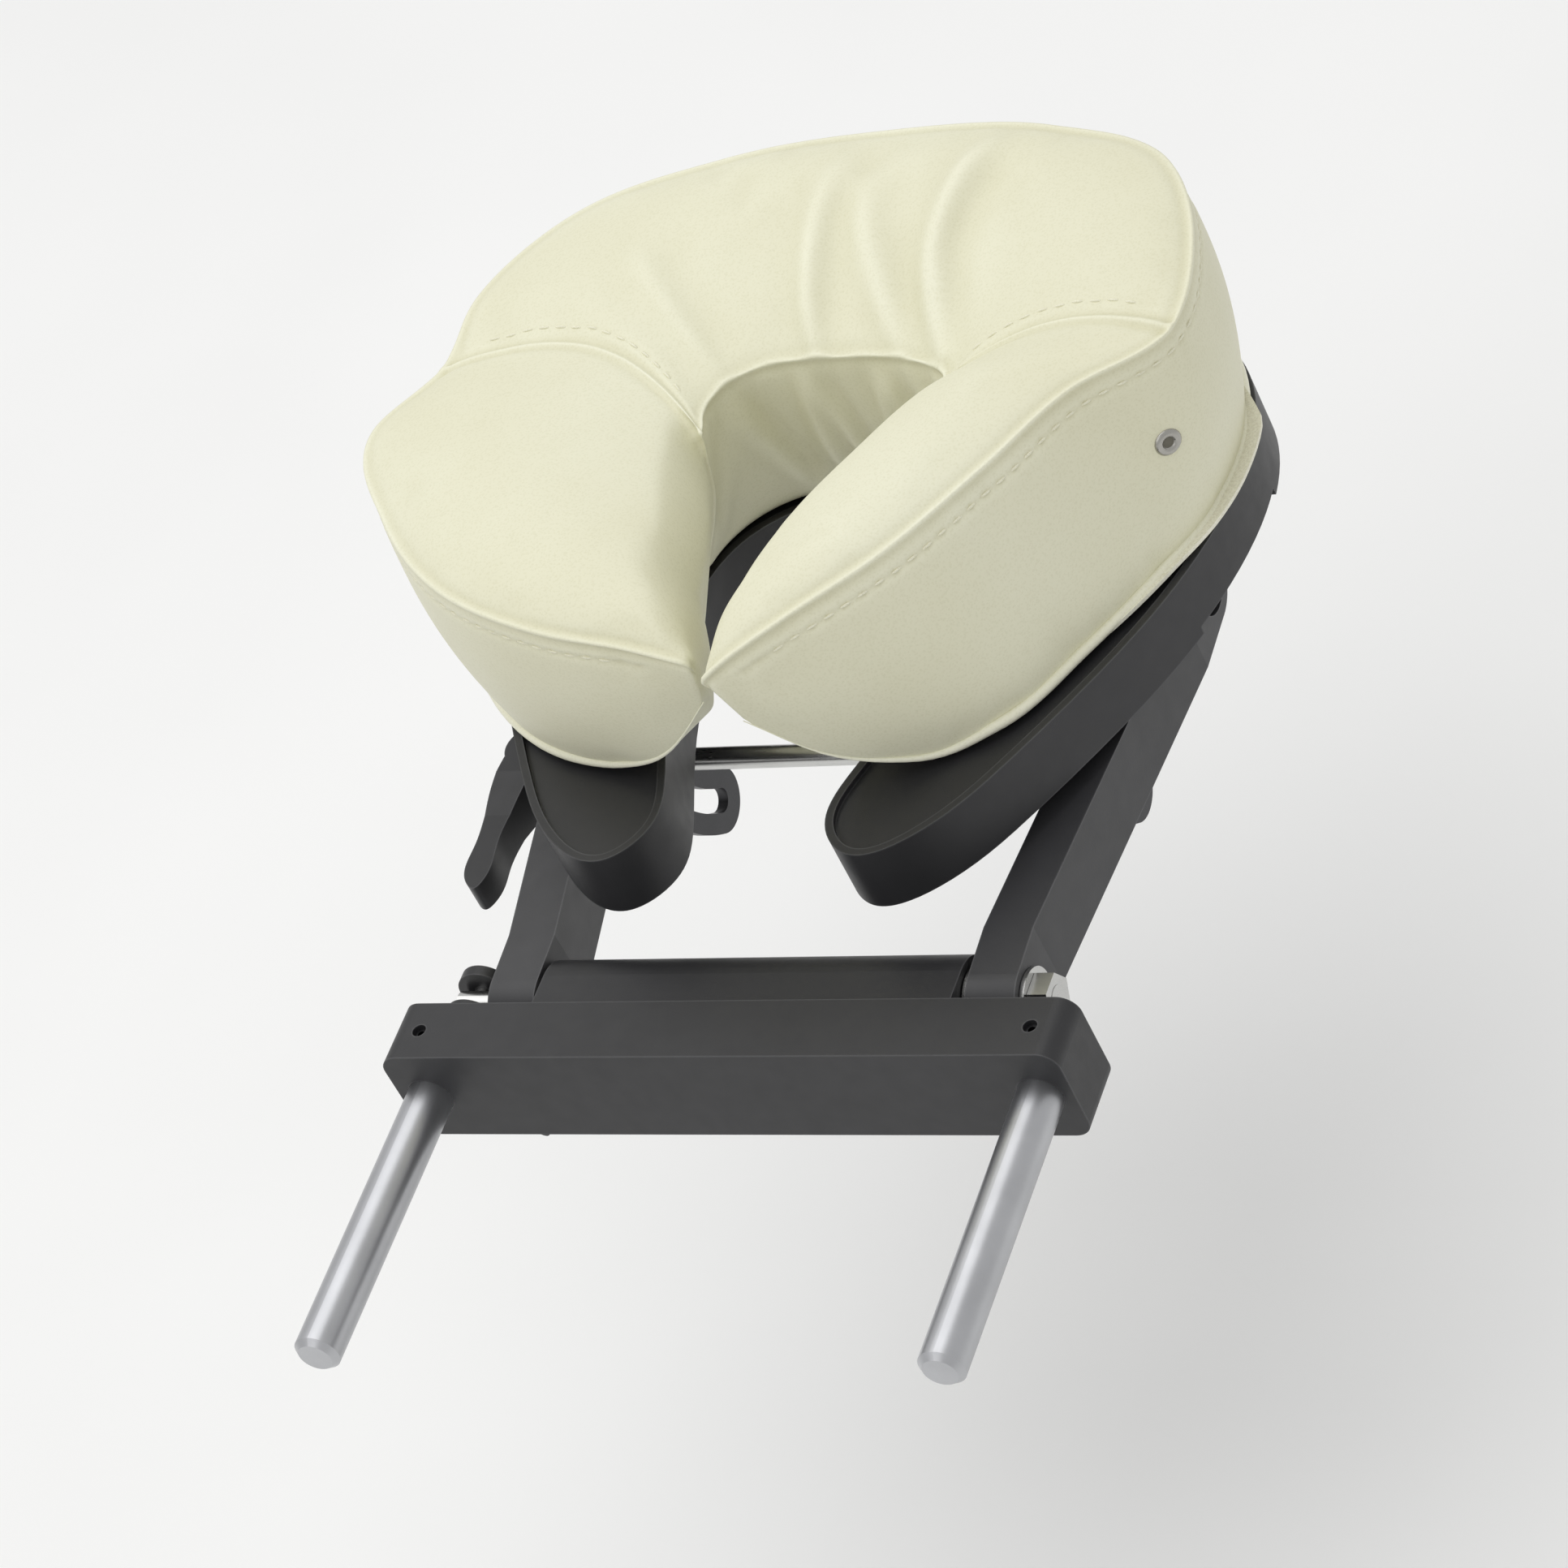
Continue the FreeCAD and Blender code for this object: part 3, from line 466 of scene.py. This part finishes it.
def roll_edge(grid, row, share):
    """Rounds the skin over an edge, where the vinyl turns over it without a seam."""
    near = np.exp(-(lengths_from(grid, 1, row) / EDGE_ROLL) ** 2) * share[:, None]
    for _ in range(ROLL_PASSES):
        between = (np.roll(grid, 1, axis=1) + np.roll(grid, -1, axis=1)) / 2
        grid = grid + (between - grid) * near[:, :, None] * 0.9
    return grid


def grid_mesh(name, grid):
    """Closed mesh on a grid whose rows run round the section, with a fan over each end."""
    stations_count, rows_count = grid.shape[:2]
    points = [tuple(p) for p in grid.reshape(-1, 3)]
    faces = []
    for s in range(stations_count - 1):
        for r in range(rows_count):
            after = (r + 1) % rows_count
            faces.append((s * rows_count + r, (s + 1) * rows_count + r,
                          (s + 1) * rows_count + after, s * rows_count + after))
    for s, turn in ((0, 1), (stations_count - 1, -1)):
        middle = len(points)
        points.append(tuple(grid[s].mean(axis=0)))
        for r in range(rows_count):
            pair = (s * rows_count + r, s * rows_count + (r + 1) % rows_count)
            faces.append(pair[::turn] + (middle,))
    mesh = bpy.data.meshes.new(name)
    mesh.from_pydata(points, [], faces)
    shell = bmesh.new()
    shell.from_mesh(mesh)
    bmesh.ops.recalc_face_normals(shell, faces=shell.faces)
    shell.to_mesh(mesh)
    shell.free()
    mesh.polygons.foreach_set("use_smooth", [True] * len(mesh.polygons))
    return mesh


def add_object(name, mesh):
    thing = bpy.data.objects.new(name, mesh)
    bpy.context.scene.collection.objects.link(thing)
    return thing


def read_points(mesh):
    points = np.empty(len(mesh.vertices) * 3)
    mesh.vertices.foreach_get("co", points)
    return points.reshape(-1, 3)


def write_points(mesh, points):
    mesh.vertices.foreach_set("co", points.reshape(-1))
    mesh.update()


def read_normals(mesh):
    return np.array([n.vector[:] for n in mesh.vertex_normals])


def swell(thing, grid, starts, seams):
    """Cloth simulation: the panels fill outwards between their seams, which hold still."""
    start = read_points(thing.data)
    held = np.zeros(grid.shape[:2])
    held[:, starts] = 1
    held[on_lobes(len(grid), seams) > 0.5, starts[1]] = 0
    held[:, starts[3]:] = 1
    held[:3] = 1
    held[-3:] = 1
    held[seams, starts[1]:starts[2]] = 1
    weights = np.append(held.reshape(-1), [1, 1])
    group = thing.vertex_groups.new(name="seams")
    group.add([int(n) for n in np.nonzero(weights)[0]], 1.0, "REPLACE")
    cloth = thing.modifiers.new("fill", "CLOTH")
    settings = cloth.settings
    settings.quality = 6
    settings.mass = 0.3
    settings.tension_stiffness = 25
    settings.compression_stiffness = 25
    settings.shear_stiffness = 12
    settings.bending_stiffness = 8.0
    settings.shrink_min = -0.004
    settings.use_pressure = True
    settings.uniform_pressure_force = 4.0
    settings.effector_weights.gravity = 0
    settings.vertex_group_mass = "seams"
    scene = bpy.context.scene
    scene.frame_start = 1
    scene.frame_end = 20
    cloth.point_cache.frame_start = 1
    cloth.point_cache.frame_end = 20
    for number in range(1, 21):
        scene.frame_set(number)
    shown = thing.evaluated_get(bpy.context.evaluated_depsgraph_get())
    moved = read_points(shown.to_mesh()) - start
    shown.to_mesh_clear()
    thing.modifiers.remove(cloth)
    thing.vertex_groups.remove(group)
    scene.frame_set(1)
    normals = read_normals(thing.data)
    inward = np.minimum((moved * normals).sum(axis=1), 0)[:, None]
    moved -= normals * inward * (1 - INWARD_SHARE)
    length = np.linalg.norm(moved, axis=1)[:, None] + 1e-12
    write_points(thing.data, start + moved / length * SWELL_CAP * np.tanh(length / SWELL_CAP))


# Cushion: sewing ----------------------------------------------------------------------------------

def ridge(distance, height, hollow):
    """Height of a seam's turned edge, with a hollow on each side."""
    return (height * np.exp(-(distance / (0.9 * MM)) ** 2)
            - hollow * np.exp(-((abs(distance) - 2.6 * MM) / (1.4 * MM)) ** 2))


def sew(mesh, grid, starts, seams):
    """Raises the seams and sinks the vinyl beside them. Returns the skin's grid afterwards."""
    points = read_points(mesh)
    normals = read_normals(mesh)[:grid.shape[0] * grid.shape[1]].reshape(grid.shape)
    skin = points[:grid.shape[0] * grid.shape[1]].reshape(grid.shape)
    rise = ridge(lengths_from(skin, 1, starts[2]), 1.3 * MM, 0.7 * MM)
    lip = ridge(lengths_from(skin, 1, starts[1]), 1.0 * MM, 0.6 * MM)
    rise += lip * (1 - on_lobes(len(skin), seams))[:, None]
    for seam in seams:
        across = ridge(lengths_from(skin, 0, seam), 1.0 * MM, 1.0 * MM)
        across[:, :starts[1]] *= 0.5
        across[:, starts[2]:] = 0
        rise += across
    skin = skin + normals * rise[:, :, None]
    points[:skin.shape[0] * skin.shape[1]] = skin.reshape(-1, 3)
    write_points(mesh, points)
    return skin


def subdivide(thing):
    modifier = thing.modifiers.new("finer", "SUBSURF")
    modifier.levels = 1
    shown = thing.evaluated_get(bpy.context.evaluated_depsgraph_get())
    mesh = bpy.data.meshes.new_from_object(shown)
    thing.modifiers.remove(modifier)
    thing.data = mesh


def beside_line(points, line):
    """Signed distance of points from a plan line, and how far along it they lie, from 0 to 1."""
    knots = np.linspace(0, 1, len(line))
    along = np.linspace(0, 1, 60)
    path = smooth_through(knots, np.array(line) * MM, along)
    heading = np.gradient(path, axis=0)
    heading /= np.linalg.norm(heading, axis=1)[:, None]
    gaps = points[:, None, :2] - path[None]
    nearest = np.argmin((gaps ** 2).sum(axis=2), axis=1)
    gap = gaps[np.arange(len(points)), nearest]
    turn = heading[nearest]
    side = np.sign(turn[:, 0] * gap[:, 1] - turn[:, 1] * gap[:, 0])
    return side * np.linalg.norm(gap, axis=1), along[nearest]


def gather(mesh):
    """Folds in the crest's top and pleats in the wall of the face opening."""
    points = read_points(mesh)
    normals = read_normals(mesh)
    rise = np.zeros(len(points))
    crest = step(normals[:, 2], 0.25, 0.7) * step(points[:, 1], 0.188, 0.204)
    near = np.nonzero(crest > 0.001)[0]
    for line, height, hollow in FOLDS:
        distance, along = beside_line(points[near], line)
        fade = step(along, 0.0, 0.3) * (1 - 0.6 * step(along, 0.7, 1.0))
        width = (3.6 + 2.4 * (1 - along)) * MM
        shape = height * np.exp(-(distance / width) ** 2)
        shape -= hollow * np.exp(-((distance - 2.2 * width) / (1.5 * width)) ** 2)
        shape -= 0.5 * hollow * np.exp(-((distance + 2.2 * width) / (1.3 * width)) ** 2)
        rise[near] += shape * fade * MM * crest[near]
    wall = step(-normals[:, 1], 0.3, 0.8) * step(points[:, 1], 0.185, 0.200)
    wall *= step(points[:, 2], FOOT_Z, 0.075)
    wall *= step(0.090 - abs(points[:, 0] - 0.015), 0, 0.02) * step(0.124 - points[:, 2], 0, 0.02)
    for number, x in enumerate(PLEATS_X):
        lean = (points[:, 2] - FOOT_Z) * (0.10 if number % 2 else -0.08)
        offset = points[:, 0] - x * MM - lean
        rise += wall * 2.3 * MM * np.exp(-(offset / (3.6 * MM)) ** 2)
        rise -= wall * 1.3 * MM * np.exp(-((offset - 7 * MM) / (3.4 * MM)) ** 2)
    write_points(mesh, points + normals * rise[:, None])


def at_distance(line, distance):
    """Point at a distance along a polyline."""
    run = np.concatenate([[0], np.cumsum(np.linalg.norm(np.diff(line, axis=0), axis=1))])
    return np.array([np.interp(distance, run, line[:, axis]) for axis in range(3)])


def respaced(line, pitch):
    """The line's points at an even pitch."""
    run = np.concatenate([[0], np.cumsum(np.linalg.norm(np.diff(line, axis=0), axis=1))])
    places = np.arange(pitch, run[-1] - pitch, pitch)
    return np.stack([np.interp(places, run, line[:, axis]) for axis in range(3)], axis=1)


def stitch_lines(skin, starts, seams):
    """Topstitching below the outer top seam and beside the two cross seams, each line with its depth."""
    boxing = skin[:, starts[2]:starts[3]]
    below = np.array([at_distance(line, STITCH_DROP) for line in boxing[4:-4]])
    lines = [(below, STITCH_SINK)]
    for seam, turn in zip(seams, (1, -1)):
        rows = range(starts[1] + 2, starts[2] - 1)
        columns = [skin[seam:seam + 12 * turn:turn, row] for row in rows]
        beside = np.array([at_distance(line, JUNCTION_STITCH) for line in columns])
        lines.append((beside, JUNCTION_SINK))
    return lines


def sink_stitches(mesh, lines):
    """Dimples where the thread pulls the vinyl in."""
    points = read_points(mesh)
    normals = read_normals(mesh)
    rise = np.zeros(len(points))
    for line, depth in lines:
        fine = respaced(line, 0.5 * MM)
        tree = KDTree(len(fine))
        for number, place in enumerate(fine):
            tree.insert(place, number)
        tree.balance()
        for number, place in enumerate(points):
            _, nearest, distance = tree.find(place)
            if distance < 4 * MM:
                beat = 0.65 + 0.35 * math.cos(2 * math.pi * nearest * 0.5 * MM / STITCH_PITCH)
                rise[number] -= depth * beat * math.exp(-(distance / (1.5 * MM)) ** 2)
    write_points(mesh, points + normals * rise[:, None])


def surface_tree(mesh):
    shell = bmesh.new()
    shell.from_mesh(mesh)
    tree = BVHTree.FromBMesh(shell)
    shell.free()
    return tree


def thread_mesh(lines, tree):
    """Separate stitches that lie along the lines, half sunk in the vinyl."""
    shell = bmesh.new()
    for line, _ in lines:
        places = respaced(line, STITCH_PITCH)
        for number in range(1, len(places) - 1):
            heading = Vector(places[number + 1] - places[number - 1]).normalized()
            spot, normal, _, _ = tree.find_nearest(Vector(places[number]))
            side = normal.cross(heading).normalized()
            rings = []
            for share in (-1, -0.8, -0.3, 0.3, 0.8, 1):
                thick = THREAD_RADIUS * math.sqrt(max(0.05, 1 - share ** 4))
                centre = spot + heading * (share * STITCH_LENGTH / 2)
                centre += normal * (0.12 - 0.35 * share ** 4) * MM
                ring = []
                for corner in range(6):
                    angle = math.tau * corner / 6
                    around = side * math.cos(angle) + normal * math.sin(angle)
                    ring.append(shell.verts.new(centre + around * thick))
                rings.append(ring)
            for first, second in zip(rings, rings[1:]):
                for corner in range(6):
                    after = (corner + 1) % 6
                    shell.faces.new((first[corner], first[after], second[after], second[corner]))
            shell.faces.new(rings[0][::-1])
            shell.faces.new(rings[-1])
    bmesh.ops.recalc_face_normals(shell, faces=shell.faces)
    mesh = bpy.data.meshes.new("cushion_stitching")
    shell.to_mesh(mesh)
    shell.free()
    mesh.polygons.foreach_set("use_smooth", [True] * len(mesh.polygons))
    return mesh


def tube_mesh(name, line, radii, sides=10):
    """Tube along an open line, with a radius for each of its points."""
    points = [Vector(place) for place in line]
    shell = bmesh.new()
    up = Vector((0, 0, 1))
    rings = []
    last = len(points) - 1
    for number, place in enumerate(points):
        heading = (points[min(number + 1, last)] - points[max(number - 1, 0)]).normalized()
        side = heading.cross(up).normalized()
        over = side.cross(heading)
        thick = radii[number]
        rings.append([shell.verts.new(place + (side * math.cos(math.tau * c / sides)
                                               + over * math.sin(math.tau * c / sides)) * thick)
                      for c in range(sides)])
    for first, second in zip(rings, rings[1:]):
        for corner in range(sides):
            after = (corner + 1) % sides
            shell.faces.new((first[corner], first[after], second[after], second[corner]))
    shell.faces.new(rings[0][::-1])
    shell.faces.new(rings[-1])
    bmesh.ops.recalc_face_normals(shell, faces=shell.faces)
    mesh = bpy.data.meshes.new(name)
    shell.to_mesh(mesh)
    shell.free()
    mesh.polygons.foreach_set("use_smooth", [True] * len(mesh.polygons))
    return mesh


def eyelet_mesh(tree):
    """Rolled metal vent rings, each pressed into the boxing where the frame has its eyelet, with a grey disc
    over each hole that paints the shade inside it.
    """
    low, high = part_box("vent_eyelets")
    radius = (high.z - low.z) / 2 * RING_SHARE
    # Half section of the ring: distance from its axis as a share of the radius, and height in millimetres
    profile = [(0.40, 0.25), (0.43, 0.6), (0.50, 0.9), (0.66, 1.2), (0.84, 0.9), (0.97, 0.2), (1.0, -0.8)]
    shell = bmesh.new()
    for side in (-1, 1):
        guess = Vector((side * (high.x - radius / 2), (low.y + high.y) / 2, (low.z + high.z) / 2))
        spot, normal, _, _ = tree.find_nearest(guess)
        turn = normal.to_track_quat("Z", "Y").to_matrix().to_4x4()
        place = Matrix.Translation(spot) @ turn
        rings = []
        for share, rise in profile:
            rings.append([shell.verts.new(place @ Vector((share * radius * math.cos(math.tau * c / 32),
                                                          share * radius * math.sin(math.tau * c / 32),
                                                          rise * MM))) for c in range(32)])
        for first, second in zip(rings, rings[1:]):
            for corner in range(32):
                after = (corner + 1) % 32
                shell.faces.new((first[corner], first[after], second[after], second[corner]))
        # This disc closes the ring's hole with the grey bore finish, painted shade for the hole's inside.
        bore = shell.faces.new(rings[0][::-1])
        bore.material_index = 1
        shell.faces.new(rings[-1])
    bmesh.ops.recalc_face_normals(shell, faces=shell.faces)
    mesh = bpy.data.meshes.new("vent_rings")
    shell.to_mesh(mesh)
    shell.free()
    mesh.polygons.foreach_set("use_smooth", [True] * len(mesh.polygons))
    return mesh


def flap_mesh(skin, starts, first, last):
    """Thin backing strip that shows under the cushion's right rear corner, widest towards the back."""
    foot = skin[first:last, starts[3]]
    outward = (foot - skin[first:last, starts[3] + 4]) * [1, 1, 0]
    outward /= np.linalg.norm(outward, axis=1)[:, None]
    share = np.linspace(1, 0, len(foot))[:, None]
    reach = FLAP_REACH * np.sqrt(np.clip(share * 1.4, 0, 1)) * np.clip((1 - share) * 8, 0.15, 1)
    inner = foot - outward * 6 * MM
    outer = foot + outward * reach + [0, 0, 1] * share * FLAP_LIFT
    thick = np.array([0, 0, FLAP_THICKNESS])
    loops = np.stack([inner, outer, outer + thick, inner + thick], axis=1)
    shell = bmesh.new()
    rings = [[shell.verts.new(place) for place in loop] for loop in loops]
    for a, b in zip(rings, rings[1:]):
        for corner in range(4):
            after = (corner + 1) % 4
            shell.faces.new((a[corner], a[after], b[after], b[corner]))
    shell.faces.new(rings[0][::-1])
    shell.faces.new(rings[-1])
    bmesh.ops.recalc_face_normals(shell, faces=shell.faces)
    mesh = bpy.data.meshes.new("backing_flap")
    shell.to_mesh(mesh)
    shell.free()
    return mesh


def add_piece(mesh, slot, *materials):
    """Adds a piece that moves with the cushion."""
    thing = add_object(mesh.name, mesh)
    for material in materials:
        thing.data.materials.append(material)
    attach(thing, "cushion")
    return thing


def make_cover(grid, starts, seams):
    """The sewn cover. Returns it with its skin's grid and its stitch lines."""
    cover = add_object("cushion_cover", grid_mesh("cushion_cover", grid))
    swell(cover, grid, starts, seams)
    skin = sew(cover.data, grid, starts, seams)
    lines = stitch_lines(skin, starts, seams)
    subdivide(cover)
    gather(cover.data)
    sink_stitches(cover.data, lines)
    cover.data.materials.clear()
    cover.data.materials.append(CREAM)
    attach(cover, "cushion")
    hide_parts("foam_core", "cushion_board", "cover_bottom", "cover_top_left_lobe",
                "cover_top_right_lobe", "cover_top_crest", "boxing_inner", "boxing_left_lobe",
                "boxing_right_lobe", "boxing_crest")
    return cover, skin, lines


def welt_mesh(skin, starts):
    """Piping along the outer foot, thinning out towards the tips."""
    order = np.arange(len(skin))
    radii = WELT_RADIUS * np.clip(np.minimum(order, order[::-1]) / WELT_FADE, 0.1, 1)
    outward = skin[:, starts[3]] - skin[:, starts[3] + 2]
    outward /= np.linalg.norm(outward, axis=1)[:, None]
    line = skin[:, starts[3]] + (outward * 0.5 + [0, 0, 0.8]) * radii[:, None]
    return tube_mesh("lower_welt", line, radii)


def make_cushion():
    grid, starts, seams = cushion_grid()
    cover, skin, lines = make_cover(grid, starts, seams)
    tree = surface_tree(cover.data)
    add_piece(thread_mesh(lines, tree), "vinyl", THREAD)
    welt = add_piece(welt_mesh(skin, starts), "vinyl", PIPING)
    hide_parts("bottom_welt")
    first, last = (seams[1] + offset for offset in FLAP_STATIONS)
    add_piece(flap_mesh(skin, starts, first, last), "pale_loop", BACKING)
    rings = add_piece(eyelet_mesh(tree), "eyelet_metal", EYELET_METAL, BORE_SHADE)
    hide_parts("vent_eyelets")


# Studio -------------------------------------------------------------------------------------------

FLOOR_Z = -0.27
EYE = Vector((0.945, -1.074, 1.295))
EYE_UP = Vector((-0.036, 0.811, 0.584))
SENSOR = 36.0
FILL_OF_FRAME = 0.96


def make_camera():
    """Looks at the middle of the object from the side that the table is on."""
    low, high = CAD_BOX
    target = (low + high) / 2
    forward = (target - EYE).normalized()
    right = forward.cross(EYE_UP).normalized()
    up = right.cross(forward)
    reach = 0.0
    for x in (low.x, high.x):
        for y in (low.y, high.y):
            for z in (low.z, high.z):
                ray = Vector((x, y, z)) - EYE
                depth = ray.dot(forward)
                reach = max(reach, abs(ray.dot(right)) / depth, abs(ray.dot(up)) / depth)
    data = bpy.data.cameras.new("camera")
    data.sensor_width = SENSOR
    data.lens = FILL_OF_FRAME * SENSOR / (2 * reach)
    camera = bpy.data.objects.new("camera", data)
    camera.matrix_world = Matrix.Translation(EYE) @ Matrix((right, up, -forward)).transposed().to_4x4()
    bpy.context.scene.collection.objects.link(camera)
    bpy.context.scene.camera = camera


def area_light(name, place, target, size, power):
    data = bpy.data.lights.new(name, "AREA")
    data.shape = "DISK"
    data.size = size
    data.energy = power
    light = bpy.data.objects.new(name, data)
    light.location = place
    light.rotation_euler = (Vector(target) - Vector(place)).to_track_quat("-Z", "Y").to_euler()
    bpy.context.scene.collection.objects.link(light)


def make_studio():
    mesh = bpy.data.meshes.new("floor")
    reach = 6.0
    mesh.from_pydata([(-reach, -reach, FLOOR_Z), (reach, -reach, FLOOR_Z), (reach, reach, FLOOR_Z),
                      (-reach, reach, FLOOR_Z)], [], [(0, 1, 2, 3)])
    floor = add_object("floor", mesh)
    surface = Surface("pale_floor", 0.7)
    surface.colour(surface.ramp(surface.noise(3), [(0.3, srgb(244, 244, 243)), (0.7, srgb(248, 248, 247))]))
    floor.data.materials.append(surface.material)
    world = bpy.data.worlds.new("studio")
    world.use_nodes = True
    world.node_tree.nodes["Background"].inputs["Color"].default_value = (1, 1, 1, 1)
    world.node_tree.nodes["Background"].inputs["Strength"].default_value = 0.67
    bpy.context.scene.world = world
    centre = (0, 0.15, 0.05)
    area_light("key", (-0.45, 0.45, 2.0), centre, 2.6, 20)
    area_light("fill", (-0.5, -1.5, 1.5), centre, 1.8, 5)
    bpy.context.scene.view_settings.view_transform = "Standard"


finish_cad_nodes()
make_cushion()
make_camera()
make_studio()
